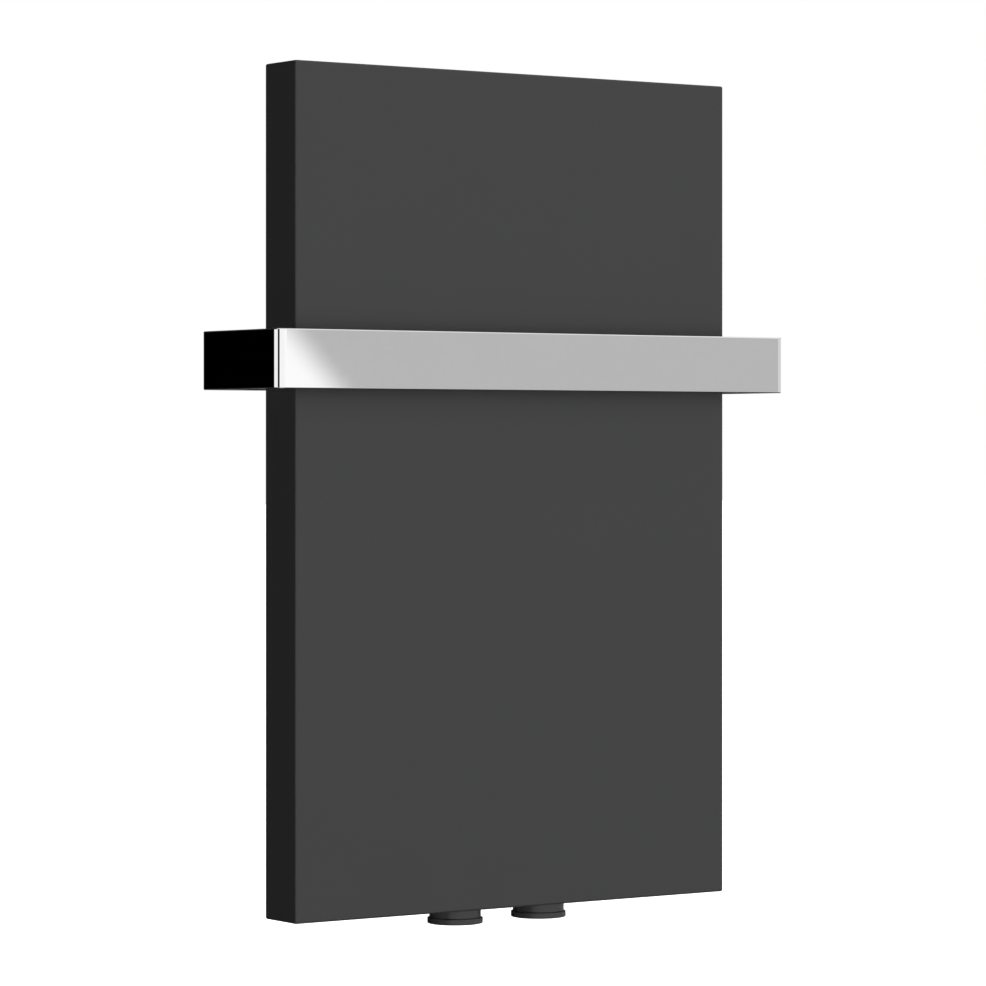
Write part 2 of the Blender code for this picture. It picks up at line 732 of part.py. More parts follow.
def hanging():
    """Lugs welded to the collectors and the wall brackets whose hooks they drop over."""
    t = BRACKET_THICKNESS
    lug_sheet = 0.0025
    lug_height = 0.022
    room = 0.0050
    face = COLLECTOR_BACK + GAP
    half = 0.010
    foot = 0.009
    lug_outline = [
        (-half - foot, face),
        (-half - foot, face + lug_sheet),
        (-half - lug_sheet, face + lug_sheet),
        (-half - lug_sheet, face + room + lug_sheet),
        (half + lug_sheet, face + room + lug_sheet),
        (half + lug_sheet, face + lug_sheet),
        (half + foot, face + lug_sheet),
        (half + foot, face),
        (half, face),
        (half, face + room),
        (-half, face + room),
        (-half, face),
    ]
    lug = prism_mesh("lug", lug_outline, lug_height)
    hook_y = face + (room - t) / 2
    bracket_outline = [
        (0, -BRACKET_PLATE_HEIGHT / 2),
        (0, BRACKET_PLATE_HEIGHT / 2),
        (-t, BRACKET_PLATE_HEIGHT / 2),
        (-t, 0),
        (hook_y + t, 0),
        (hook_y + t, HOOK_HEIGHT),
        (hook_y, HOOK_HEIGHT),
        (hook_y, -t),
        (-t, -t),
        (-t, -BRACKET_PLATE_HEIGHT / 2),
    ]
    bracket = prism_mesh("wall_bracket", bracket_outline, 2 * half - 0.002)
    hole = cylinder_mesh("screw_hole", 0.0035, -0.01, 0.01, 16)
    steps = []
    for z in (-0.018, 0.018):
        in_outline = OUTLINE_YZ.inverted() @ Matrix.Translation((0, 0, z)) @ ALONG_Y
        steps.append(("DIFFERENCE", hole, in_outline))
    bracket = combined(bracket, steps)
    for level, z in (("lower", LOWER_COLLECTOR_Z), ("upper", UPPER_COLLECTOR_Z)):
        for side, sign in (("left", -1), ("right", 1)):
            x = sign * BRACKET_X
            link_part(f"{level}_{side}_lug", lug, "steel_coated", Matrix.Translation((x, 0, z)))
            arm_z = z - lug_height / 2 - GAP
            place = Matrix.Translation((x, 0, arm_z)) @ OUTLINE_YZ
            link_part(f"{level}_{side}_wall_bracket", bracket, "zinc_steel", place)


def rail_outline():
    """Plan of the towel rail: foot, arm, front bar, arm and foot, bent from one flat strip."""
    half_width = RAIL_WIDTH / 2
    front = FRONT - RAIL_STANDOFF
    outer = RAIL_CORNER_RADIUS
    inner = outer - RAIL_THICKNESS
    front_corner = (half_width - outer, front + outer)
    rear_corner = (half_width - outer, -outer)
    foot_end = half_width - RAIL_FOOT_LENGTH
    outside = arc(front_corner, outer, -90, 0, 6) + arc(rear_corner, outer, 0, 90, 6)
    inside = arc(rear_corner, inner, 90, 0, 3) + arc(front_corner, inner, 0, -90, 3)
    right = outside + [(foot_end, 0), (foot_end, -RAIL_THICKNESS)] + inside
    left = [(-x, y) for x, y in reversed(right)]
    return right + left


def towel_rail():
    """The bent rail, the blocks between it and the side channels, and its screws from the wall side."""
    mesh = prism_mesh("towel_rail", rail_outline(), RAIL_HEIGHT)
    foot_x = INNER_HALF_WIDTH - GAP - CHANNEL_WIDTH / 2 - 0.002
    hole = turned_mesh(
        "screw_hole",
        [(0, 0.010), (0.0055, 0.010), (0.0055, -0.0026), (0.0033, -0.0026), (0.0033, -0.010), (0, -0.010)],
        SMALL_ROUND,
    )
    steps = []
    for sign in (-1, 1):
        steps.append(("DIFFERENCE", hole, Matrix.Translation((sign * foot_x, 0, 0)) @ ALONG_Y))
    mesh = combined(mesh, steps)
    link_part("towel_rail", smooth(mesh), "chrome", Matrix.Translation((0, 0, RAIL_Z)))

    near = BACK - SHEET
    far = -RAIL_THICKNESS - GAP
    block = box_mesh("block", (0.016, far - near, 0.036), (0, (far + near) / 2, 0))
    thread = cylinder_mesh("thread", 0.0033, -0.018, 0.010, SMALL_ROUND)
    block = combined(block, [("DIFFERENCE", thread, ALONG_Y)])
    screw = turned_mesh(
        "rail_screw",
        [(0, -0.0003), (0.0052, -0.0003), (0.0052, -0.0023), (0.003, -0.0023), (0.003, -0.016), (0, -0.016)],
        SMALL_ROUND,
    )
    slot = box_mesh("slot", (0.0015, 0.02, 0.002))
    screw = smooth(combined(screw, [("DIFFERENCE", slot, Matrix())]))
    for side, sign in (("left", -1), ("right", 1)):
        place = Matrix.Translation((sign * foot_x, 0, RAIL_Z))
        link_part(f"{side}_rail_block", block, "zinc_steel", place)
        link_part(f"{side}_rail_screw", screw, "zinc_steel", place @ ALONG_Y)


front_cover()
side_channels()
water_tubes()
collectors()
convector()
air_vent()
valves()
hanging()
towel_rail()
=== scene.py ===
"""Looks of a wall-hung flat-panel radiator with a chrome towel rail and two hand-wheel valves.

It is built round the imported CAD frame, in metres with +Z up: the wall is at y = 0, the panel's front
faces -Y, and +X is to the right seen from the front.
"""

import json
import math

import bmesh
import bpy
from mathutils import Matrix, Vector

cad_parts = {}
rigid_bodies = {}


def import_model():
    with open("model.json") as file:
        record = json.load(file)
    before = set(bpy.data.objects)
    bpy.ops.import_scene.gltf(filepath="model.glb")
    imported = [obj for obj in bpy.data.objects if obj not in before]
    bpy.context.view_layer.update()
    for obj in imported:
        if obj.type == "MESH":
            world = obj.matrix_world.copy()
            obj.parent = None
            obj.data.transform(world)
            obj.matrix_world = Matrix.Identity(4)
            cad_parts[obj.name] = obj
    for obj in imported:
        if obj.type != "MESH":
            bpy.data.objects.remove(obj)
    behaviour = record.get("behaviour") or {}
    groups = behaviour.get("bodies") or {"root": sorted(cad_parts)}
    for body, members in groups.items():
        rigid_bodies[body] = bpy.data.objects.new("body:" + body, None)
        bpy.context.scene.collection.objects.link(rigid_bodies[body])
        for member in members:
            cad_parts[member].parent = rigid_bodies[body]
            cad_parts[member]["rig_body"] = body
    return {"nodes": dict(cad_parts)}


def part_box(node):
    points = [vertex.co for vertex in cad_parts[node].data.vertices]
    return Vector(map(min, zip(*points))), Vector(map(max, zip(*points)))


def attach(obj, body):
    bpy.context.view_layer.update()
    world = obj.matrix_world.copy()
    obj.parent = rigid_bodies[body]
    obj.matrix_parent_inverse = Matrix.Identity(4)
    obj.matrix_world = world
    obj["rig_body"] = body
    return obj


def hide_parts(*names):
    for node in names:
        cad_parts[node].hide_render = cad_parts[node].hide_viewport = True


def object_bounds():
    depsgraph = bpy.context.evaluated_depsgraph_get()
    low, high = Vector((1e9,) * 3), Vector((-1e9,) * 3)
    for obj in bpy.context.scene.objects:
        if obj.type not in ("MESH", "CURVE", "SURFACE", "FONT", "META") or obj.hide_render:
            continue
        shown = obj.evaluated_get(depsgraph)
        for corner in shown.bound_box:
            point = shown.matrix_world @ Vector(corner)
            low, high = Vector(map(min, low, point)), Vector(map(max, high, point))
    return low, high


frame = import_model()
cad_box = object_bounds()

# Casing.
SHEET = 0.0015
FOLD_RADIUS = 0.002
REAR_LIP = 0.008
SLOTS_PER_ROW = 8
SLOT_SIZE = (0.044, 0.008)
SLOT_PITCH = 0.056
SLOT_ROW_OFFSET = 0.009
SLOT_FREE_HALF_WIDTH = 0.100
NOTCH_RADIUS = 0.0263
CUT_EDGE = 0.0003

# Towel rail.
RAIL_THICKNESS = 0.005
RAIL_BEND = 0.0058
RAIL_EDGE = 0.0011
FOOT_LENGTH = 0.070

# Waterways and hanging parts.
CHANNEL_SHEET = 0.002
WAVE_SHEET = 0.0008
WAVE_COUNT = 16
WAVE_PITCH = 0.027
BRACKET_SHEET = 0.003
LUG_SHEET = 0.0025
BRACKET_HOLES = 0.018

# Valves and air vent: hexagons across their flats, threads, walls, and heights on the valve's axis.
VENT_HEX = 0.017
BONNET_HEX = 0.027
UNION_HEX = 0.032
HEX_CORNER_TRIM = 0.985
BONNET_HEX_ENDS = (0.0200, 0.0260)
TAIL_THREAD_PITCH = 0.0018
TAIL_THREAD_DEPTH = 0.0007
TAIL_THREAD_POINTS = 28
BARREL_RADIUS = 0.0150
BARREL_TOP_RADIUS = 0.0100
PORT_RADIUS = 0.0120
PORT_BORE = 0.0070
CAP_DISH = 0.0003
KNOB_RIM_STEP = 0.0019
KNOB_WALL = 0.0025
PORT_Z = 0.045
VALVE_SEAT = 0.0516

# Camera: it looks level at the panel's front left edge from the left.
VIEW_AZIMUTH = -34.651
VIEW_DISTANCE = 3.8157
VIEW_RIGHT = 0.1826
VIEW_HEIGHT = 0.4414
VIEW_LENS = 150.64
VIEW_SHIFT = -0.04643
FLOOR_DROP = 0.25

# Studio: bands of light along the horizon as (level, start azimuth, end azimuth).
LEFT_BANDS = ((0.0, -176.5, -174.5), (1.03, -152.2, -150.2), (1.09, -88, -84))
RIGHT_BANDS = ((0.72, -50, -42), (0.0, 58, 75), (0.99, 123.0, 124.6))
KEY_STRENGTH = 5.75
BACK_STRENGTH = 2.6

ALONG_Y = Matrix.Rotation(math.radians(-90), 4, "X")
ALONG_X = Matrix.Rotation(math.radians(90), 4, "Y")
OUTLINE_YZ = Matrix.Rotation(math.radians(90), 4, "Z") @ Matrix.Rotation(math.radians(90), 4, "X")
SIDES = (("left", -1), ("right", 1))


def centre_of(node):
    low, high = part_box(node)
    return (low + high) / 2


COVER_LOW, COVER_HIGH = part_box("front_cover")
VALVE_Y = centre_of("supply_knob").y


# ---------------------------------------------------------------- materials


def add(tree, kind, inputs=None, **settings):
    """A new node. An input given as a socket is linked, and any other is set."""
    node = tree.nodes.new("ShaderNode" + kind)
    for name, value in settings.items():
        setattr(node, name, value)
    for key, value in (inputs or {}).items():
        if isinstance(value, bpy.types.NodeSocket):
            tree.links.new(value, node.inputs[key])
        else:
            node.inputs[key].default_value = value
    return node


def remap(tree, value, before, after, interpolation="LINEAR"):
    """The value carried from one range to another, and held at its ends."""
    inputs = {
        "Value": value,
        "From Min": before[0],
        "From Max": before[1],
        "To Min": after[0],
        "To Max": after[1],
    }
    return add(tree, "MapRange", inputs, interpolation_type=interpolation).outputs["Result"]


def two_tone(tree, factor, dark, light):
    node = add(tree, "ValToRGB", {"Fac": factor})
    first, last = node.color_ramp.elements
    first.position, first.color = 0.3, (*dark, 1)
    last.position, last.color = 0.7, (*light, 1)
    return node.outputs["Color"]


def finish(name, tones, roughness, metallic, grain, broad, relief, stretch=(1, 1, 1), cells=False):
    """A surface whose fine grain tints and roughens it and whose broad pattern varies its gloss."""
    material = bpy.data.materials.new(name)
    material.use_nodes = True
    tree = material.node_tree
    shader = tree.nodes["Principled BSDF"]
    shader.inputs["Metallic"].default_value = metallic
    place = add(tree, "TexCoord").outputs["Object"]
    place = add(tree, "Mapping", {"Vector": place, "Scale": stretch}).outputs["Vector"]
    if cells:
        fine = add(tree, "TexVoronoi", {"Vector": place, "Scale": grain}).outputs["Distance"]
    else:
        fine = add(tree, "TexNoise", {"Vector": place, "Scale": grain, "Detail": 3}).outputs["Fac"]
    wide = add(tree, "TexNoise", {"Vector": place, "Scale": broad, "Detail": 4}).outputs["Fac"]
    both = add(tree, "Math", {0: fine, 1: wide}, operation="ADD").outputs["Value"]
    mixed = add(tree, "Math", {0: both, 1: 0.5}, operation="MULTIPLY").outputs["Value"]
    tree.links.new(two_tone(tree, mixed, *tones), shader.inputs["Base Color"])
    tree.links.new(remap(tree, mixed, (0.3, 0.7), roughness), shader.inputs["Roughness"])
    strength, distance = relief
    bump = add(tree, "Bump", {"Height": fine, "Strength": strength, "Distance": distance})
    tree.links.new(bump.outputs["Normal"], shader.inputs["Normal"])
    return material


def grey(value, warm=0.0):
    """A near-neutral colour, a little red over blue where it's warm."""
    return (value * (1 + warm), value, value * (1 - warm))


MATERIAL = {
    # Satin powder coat with fine orange peel.
    "powder_coat": finish(
        "powder_coat", (grey(0.036, -0.02), grey(0.041, -0.02)), (0.44, 0.52), 0, 1100, 9, (0.12, 0.00005)
    ),
    # Thinner dipped coat on the inner steel.
    "steel_coated": finish(
        "steel_coated", (grey(0.050), grey(0.066)), (0.42, 0.58), 0, 420, 14, (0.2, 0.00008)
    ),
    # Bright zinc with its crystal pattern.
    "zinc_steel": finish(
        "zinc_steel",
        (grey(0.50, -0.02), grey(0.66, -0.02)),
        (0.26, 0.46),
        1,
        380,
        40,
        (0.15, 0.00004),
        cells=True,
    ),
    # Polished plate with barely visible polishing haze.
    "chrome": finish("chrome", (grey(0.875), grey(0.895)), (0.012, 0.028), 1, 160, 12, (0.01, 0.00001)),
    # Nickelled brass with turning marks round each fitting.
    "nickel_brass": finish(
        "nickel_brass",
        (grey(0.56, 0.06), grey(0.66, 0.05)),
        (0.18, 0.34),
        1,
        700,
        60,
        (0.1, 0.00003),
        (1, 1, 5),
    ),
    "brass": finish(
        "brass",
        ((0.58, 0.40, 0.16), (0.76, 0.56, 0.26)),
        (0.22, 0.38),
        1,
        700,
        80,
        (0.12, 0.00003),
        (1, 1, 5),
    ),
    "stainless": finish(
        "stainless", (grey(0.52, 0.01), grey(0.62, 0.01)), (0.18, 0.32), 1, 900, 60, (0.1, 0.00002), (1, 1, 8)
    ),
    # Moulded plastic with a faint spark-eroded grain.
    "knob_plastic": finish(
        "knob_plastic", (grey(0.034), grey(0.040)), (0.30, 0.40), 0, 2200, 30, (0.08, 0.00003)
    ),
    "rubber": finish("rubber", (grey(0.014), grey(0.024)), (0.70, 0.90), 0, 1500, 60, (0.3, 0.00005)),
}


# ---------------------------------------------------------------- shapes


def modified(mesh, *steps):
    """The mesh after a chain of modifiers, each given as (type, settings)."""
    obj = bpy.data.objects.new("blank", mesh)
    bpy.context.scene.collection.objects.link(obj)
    for kind, settings in steps:
        modifier = obj.modifiers.new(kind.lower(), kind)
        for key, value in settings.items():
            setattr(modifier, key, value)
    bpy.context.view_layer.update()
    result = bpy.data.meshes.new_from_object(obj.evaluated_get(bpy.context.evaluated_depsgraph_get()))
    result.name = mesh.name
    bpy.data.objects.remove(obj)
    return result


def boolean(mesh, operation, tool):
    cutter = bpy.data.objects.new("cutter", tool)
    bpy.context.scene.collection.objects.link(cutter)
    result = modified(mesh, ("BOOLEAN", {"operation": operation, "object": cutter}))
    bpy.data.objects.remove(cutter)
    return result


def softened(width, segments=2):
    """The modifier that rounds the sharp edges of a mesh."""
    settings = {
        "width": width,
        "segments": segments,
        "limit_method": "ANGLE",
        "angle_limit": math.radians(50),
        "use_clamp_overlap": True,
    }
    return ("BEVEL", settings)


def joined(name, parts):
    """One mesh from (mesh, matrix) pairs."""
    work = bmesh.new()
    for mesh, matrix in parts:
        copy = mesh.copy()
        copy.transform(matrix)
        work.from_mesh(copy)
        bpy.data.meshes.remove(copy)
    return mesh_of(name, work)


def mesh_of(name, work):
    mesh = bpy.data.meshes.new(name)
    work.to_mesh(mesh)
    work.free()
    return mesh


def loft(name, rings, closed=False):
    """Quads between rings of equal length. The end rings are capped, or the last ring joins the first."""
    work = bmesh.new()
    made = [[work.verts.new(point) for point in ring] for ring in rings]
    pairs = list(zip(made, made[1:]))
    if closed:
        pairs.append((made[-1], made[0]))
    else:
        work.faces.new(made[0])
        work.faces.new(made[-1])
    for first, second in pairs:
        for i in range(len(first)):
            j = (i + 1) % len(first)
            work.faces.new((first[i], second[i], second[j], first[j]))
    bmesh.ops.recalc_face_normals(work, faces=work.faces)
    return mesh_of(name, work)


def filleted(points, radius, steps=3, closed=False):
    """The line with each corner rounded. A point may carry its own radius as a third value."""
    line = []
    for i, point in enumerate(points):
        corner = Vector(point[:2])
        if not closed and i in (0, len(points) - 1):
            line.append(corner)
            continue
        before = Vector(points[i - 1][:2]) - corner
        after = Vector(points[(i + 1) % len(points)][:2]) - corner
        turn = math.pi - before.angle(after)
        tangent = math.tan(turn / 2)
        wanted = point[2] if len(point) > 2 else radius
        if tangent < 0.01 or wanted == 0:
            line.append(corner)
            continue
        reach = min(wanted * tangent, 0.45 * before.length, 0.45 * after.length)
        before.normalize()
        after.normalize()
        start = corner + before * reach
        centre = corner + (before + after).normalized() * (reach / tangent / math.cos(turn / 2))
        arm = start - centre
        side = math.copysign(1, arm.cross(corner - centre))
        for step in range(steps + 1):
            line.append(centre + Matrix.Rotation(side * turn * step / steps, 2) @ arm)
    return line


def circle_point(radius, angle, height):
    return Vector((radius * math.cos(angle), radius * math.sin(angle), height))


def lathe(name, profile, edge=0.0004, segments=64, closed=False, flats=None, thread=None, steps=3):
    """A turned shape from (radius, height) points down its outer side, with rounded corners.

    flats clips it to a hexagon of that size. thread is (low, high, pitch, depth) of a helical groove.
    """
    rings = []
    for radius, height in filleted(profile, edge, steps, closed):
        ring = []
        for i in range(segments):
            angle = 2 * math.pi * i / segments
            reach = radius
            if flats:
                from_flat = math.remainder(angle, math.pi / 3)
                reach = min(reach, flats / 2 / math.cos(from_flat))
            if thread and thread[0] < height < thread[1]:
                phase = (height / thread[2] - i / segments) % 1
                reach -= thread[3] * abs(2 * phase - 1)
            ring.append(circle_point(reach, angle, height))
        rings.append(ring)
    return loft(name, rings, closed)


def chamfered_hex(flats, low, high):
    """Profile points of a nut's outer side: the turned chamfers that cut a hexagon's corners."""
    radius = flats / math.sqrt(3) * HEX_CORNER_TRIM
    drop = 0.0020
    steps = 6
    top = [(radius - drop * (1 - k / steps) * 1.7, high - drop * k / steps, 0) for k in range(steps + 1)]
    return top + [(r, low + high - z, 0) for r, z, _ in reversed(top)]


def rectangle(width, height, radius, steps=3):
    """A rounded rectangle round the origin."""
    x, y = width / 2, height / 2
    return filleted([(-x, -y), (x, -y), (x, y), (-x, y)], radius, steps, closed=True)


def stadium(length, width, steps=12):
    """A slot outline with round ends, its length along X."""
    reach = (length - width) / 2
    points = []
    for side in (1, -1):
        for i in range(steps + 1):
            angle = math.pi * (i / steps - side / 2)
            points.append(Vector((side * reach + width / 2 * math.cos(angle), width / 2 * math.sin(angle))))
    return points


def pillow(name, outline, low, high, edge, steps=3):
    """A block on an outline, a function of how far it is set in, with rounded ends from low to high."""
    turns = [math.pi / 2 * k / steps for k in range(steps + 1)]
    levels = [(low + edge * (1 - math.sin(a)), edge * (1 - math.cos(a))) for a in reversed(turns)]
    levels += [(high - edge * (1 - math.sin(a)), edge * (1 - math.cos(a))) for a in turns]
    rings = [[(*point, height) for point in outline(inset)] for height, inset in levels]
    return loft(name, rings)


def block(name, size, corner, edge):
    """A rounded block centred on the origin, its rounded outline in XY."""
    width, depth, height = size
    return pillow(
        name,
        lambda inset: rectangle(width - 2 * inset, depth - 2 * inset, corner - inset),
        -height / 2,
        height / 2,
        edge,
    )


def strip(name, path, thickness, width, edge, steps=3):
    """A flat bar bent along a plan path in XY: its thickness lies across the path and its width along Z."""
    points = [Vector(point) for point in path]
    first = (points[1] - points[0]).normalized()
    last = (points[-1] - points[-2]).normalized()
    turns = [math.pi / 2 * k / steps for k in range(steps + 1)]
    ends = [(edge * (1 - math.cos(a)), edge * (1 - math.sin(a))) for a in turns]
    stations = [(points[0] + first * advance, first, inset) for advance, inset in ends]
    for before, point, after in zip(points, points[1:], points[2:]):
        along = ((point - before).normalized() + (after - point).normalized()).normalized()
        stations.append((point, along, 0))
    stations += [(points[-1] - last * advance, last, inset) for advance, inset in reversed(ends)]
    rings = []
    for point, along, inset in stations:
        across = Vector((-along.y, along.x))
        section = rectangle(thickness - 2 * inset, width - 2 * inset, max(edge - inset, edge / 20), steps)
        rings.append([(*(point + across * s.x), s.y) for s in section])
    return loft(name, rings)


def weld_bead(name, path, radius, pitch=0.0022, closed=False):
    """A rippled weld along a plan path in XY."""
    points = [Vector(point) for point in path]
    if closed:
        points.append(points[0])
    rings = []
    travelled = 0
    for start, end in zip(points, points[1:]):
        length = (end - start).length
        along = (end - start).normalized()
        across = Vector((-along.y, along.x))
        count = max(1, round(length / (pitch / 4)))
        for i in range(count):
            phase = (travelled + length * i / count) / pitch * 2 * math.pi
            size = radius * (0.88 + 0.12 * math.sin(phase))
            centre = start + along * (length * i / count)
            ring = []
            for k in range(10):
                angle = 2 * math.pi * k / 10
                flat = centre + across * size * math.cos(angle)
                ring.append((*flat, size * math.sin(angle)))
            rings.append(ring)
        travelled += length
    return loft(name, rings, closed)


# ---------------------------------------------------------------- pieces


def place_piece(name, mesh, slot, body, matrix=None):
    mesh.materials.clear()
    mesh.materials.append(MATERIAL[slot])
    mesh.shade_smooth()
    mesh.set_sharp_from_angle(angle=math.radians(40))
    obj = bpy.data.objects.new(name, mesh)
    bpy.context.scene.collection.objects.link(obj)
    obj.matrix_world = matrix or Matrix()
    weighted = obj.modifiers.new("weighted", "WEIGHTED_NORMAL")
    weighted.keep_sharp = True
    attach(obj, body)
    return obj


def stand_for(node, mesh, slot, matrix=None):
    """The finished piece that is shown in place of a CAD node, and moves with its body."""
    obj = place_piece(f"{node}_finished", mesh, slot, frame["nodes"][node]["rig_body"], matrix)
    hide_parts(node)
    return obj


def keep_cad(slot, *nodes):
    """CAD nodes shown as they are, with the finished material."""
    for node in nodes:
        frame["nodes"][node].material_slots[0].material = MATERIAL[slot]


def air_slots():
    """The cutters of the casing: two rows of slots above, and below only beside the valves."""
    slot = loft("slot", [[(*point, z) for point in stadium(*SLOT_SIZE)] for z in (-0.01, 0.01)])
    places = []
    for y in (VALVE_Y - SLOT_ROW_OFFSET, VALVE_Y + SLOT_ROW_OFFSET):
        for i in range(SLOTS_PER_ROW):
            x = (i - (SLOTS_PER_ROW - 1) / 2) * SLOT_PITCH
            places.append((slot, Matrix.Translation((x, y, COVER_HIGH.z))))
            if abs(x) > SLOT_FREE_HALF_WIDTH:
                places.append((slot, Matrix.Translation((x, y, COVER_LOW.z))))
    return joined("slots", places)


def knob_notches():
    """The cutters round the two knobs, open to the back."""
    steps = 32
    front = [math.pi + math.pi * k / steps for k in range(steps + 1)]
    outline = [Vector((NOTCH_RADIUS * math.cos(a), NOTCH_RADIUS * math.sin(a))) for a in front]
    outline += [Vector((NOTCH_RADIUS, 0.05)), Vector((-NOTCH_RADIUS, 0.05))]
    notch = loft("notch", [[(*point, z) for point in outline] for z in (-0.01, 0.01)])
    places = [Matrix.Translation((centre_of(f"{side}_knob").x, VALVE_Y, 0)) for side in ("supply", "return")]
    return joined("notches", [(notch, place) for place in places])


def casing():
    """Folded sheet: front, four sides with rounded folds, and a lip turned in along the back."""
    size = COVER_HIGH - COVER_LOW
    place = Matrix.Translation((COVER_LOW + COVER_HIGH) / 2) @ Matrix.Diagonal((*size, 1))
    work = bmesh.new()
    bmesh.ops.create_cube(work, size=1, matrix=place)
    back = [face for face in work.faces if face.normal.y > 0.9]
    bmesh.ops.inset_region(work, faces=back, thickness=REAR_LIP)
    bmesh.ops.delete(work, geom=back, context="FACES")
    tray = modified(
        mesh_of("casing", work),
        softened(FOLD_RADIUS, 6),
        ("SOLIDIFY", {"thickness": SHEET, "offset": -1, "use_even_offset": True}),
    )
    tray = boolean(tray, "DIFFERENCE", air_slots())
    tray = boolean(tray, "DIFFERENCE", knob_notches())
    stand_for("front_cover", modified(tray, softened(CUT_EDGE)), "powder_coat")


def towel_rail():
    """One flat bar: foot, arm, front bar, arm and foot, with holes for its screws in both feet."""
    low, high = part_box("towel_rail")
    half = high.x - RAIL_THICKNESS / 2
    front = low.y + RAIL_THICKNESS / 2
    back = high.y - RAIL_THICKNESS / 2
    foot = high.x - FOOT_LENGTH
    corners = [(-foot, back), (-half, back), (-half, front), (half, front), (half, back), (foot, back)]
    path = filleted(corners, RAIL_BEND, 20)
    bar = strip("towel_rail", path, RAIL_THICKNESS, high.z - low.z, RAIL_EDGE, 6)
    hole = lathe(
        "hole",
        [(0.0055, 0.010), (0.0055, -0.0026), (0.0033, -0.0026), (0.0033, -0.010)],
        segments=32,
    )
    place = Matrix.Translation((0, 0, (low.z + high.z) / 2))
    foot_x = centre_of("right_rail_block").x
    places = [Matrix.Translation((sign * foot_x, 0, 0)) @ ALONG_Y for _, sign in SIDES]
    holes = joined("holes", [(hole, spot) for spot in places])
    stand_for("towel_rail", boolean(bar, "DIFFERENCE", holes), "chrome", place)


def rail_fixings():
    """The blocks between the side channels and the rail's feet, and the slotted screws."""
    for side, _ in SIDES:
        low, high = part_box(f"{side}_rail_block")
        size = high - low
        body = block("rail_block", (size.x, size.z, size.y), 0.0025, 0.0005)
        across = Matrix.Translation((low + high) / 2) @ ALONG_Y
        bore = lathe("thread", [(0.0033, 0.010), (0.0033, -0.030)], segments=24)
        bore.transform(Matrix.Translation((0, 0, size.y / 2 - 0.010)))
        stand_for(f"{side}_rail_block", boolean(body, "DIFFERENCE", bore), "zinc_steel", across)

        low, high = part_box(f"{side}_rail_screw")
        screw = lathe(
            "rail_screw",
            [(0.0052, 0), (0.0052, -0.0020), (0.0030, -0.0020), (0.0030, -0.0157)],
            edge=0.0003,
            segments=32,
        )
        slot = block("slot", (0.0015, 0.02, 0.002), 0.0002, 0.0002)
        screw = boolean(screw, "DIFFERENCE", slot)
        middle = (low + high) / 2
        place = Matrix.Translation((middle.x, high.y, middle.z)) @ ALONG_Y
        stand_for(f"{side}_rail_screw", screw, "zinc_steel", place)


def side_channels():
    for side, sign in SIDES:
        node = f"{side}_side_channel"
        low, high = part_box(node)
        t = CHANNEL_SHEET / 2
        inner = min(abs(low.x), abs(high.x))
        outer = max(abs(low.x), abs(high.x))
        corners = [(inner, low.y + t), (outer - t, low.y + t), (outer - t, high.y - t), (inner, high.y - t)]
        path = filleted([(sign * x, y) for x, y in corners], 0.0022, 6)
        mesh = strip(node, path, CHANNEL_SHEET, high.z - low.z, 0.0003, 2)
        stand_for(node, mesh, "steel_coated", Matrix.Translation((0, 0, (low.z + high.z) / 2)))


def water_tubes():
    """Flat tubes with pressed, rounded ends."""
    for number in range(1, 7):
        node = f"water_tube_{number}"
        low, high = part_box(node)
        size = high - low
        mesh = pillow(
            node,
            lambda inset: stadium(size.x - 2 * inset, size.y - 2 * inset),
            low.z,
            high.z,
            0.003,
            4,
        )
        centre = (low + high) / 2
        stand_for(node, mesh, "steel_coated", Matrix.Translation((centre.x, centre.y, 0)))


def collectors():
    """Rectangular headers with rounded corners, their end caps and the welds round these."""
    for level in ("lower", "upper"):
        node = f"{level}_collector"
        low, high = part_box(node)
        size = high - low
        centre = (low + high) / 2
        body = block(node, (size.z, size.y, size.x), 0.003, 0.0004)
        stand_for(node, body, "steel_coated", Matrix.Translation(centre) @ ALONG_X)
        for side, sign in SIDES:
            cap = f"{level}_{side}_end_cap"
            low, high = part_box(cap)
            size = high - low
            centre = (low + high) / 2
            body = block(cap, (size.z, size.y, size.x), 0.003, 0.0008)
            stand_for(cap, body, "steel_coated", Matrix.Translation(centre) @ ALONG_X)
            loop = rectangle(size.z - 0.0016, size.y - 0.0016, 0.003, 6)
            bead = weld_bead(f"{cap}_weld", loop, 0.0011, closed=True)
            joint = Matrix.Translation((centre.x - sign * size.x / 2, centre.y, centre.z)) @ ALONG_X
            place_piece(f"{cap}_weld", bead, "steel_coated", "panel", joint)


def convector():
    """The corrugated sheet with rounded bends."""
    low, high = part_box("convector_sheet")
    front = low.y + WAVE_SHEET / 2
    rear = high.y - WAVE_SHEET / 2
    flat = 0.35 * WAVE_PITCH
    slope = 0.15 * WAVE_PITCH
    corners = []
    for wave in range(WAVE_COUNT):
        x = (wave - WAVE_COUNT / 2) * WAVE_PITCH
        corners += [(x, front), (x + flat, front), (x + flat + slope, rear), (x + 2 * flat + slope, rear)]
    corners.append((WAVE_COUNT / 2 * WAVE_PITCH, front))
    mesh = strip("convector_sheet", filleted(corners, 0.0022, 3), WAVE_SHEET, high.z - low.z, 0.0002, 1)
    stand_for("convector_sheet", mesh, "steel_coated", Matrix.Translation((0, 0, (low.z + high.z) / 2)))


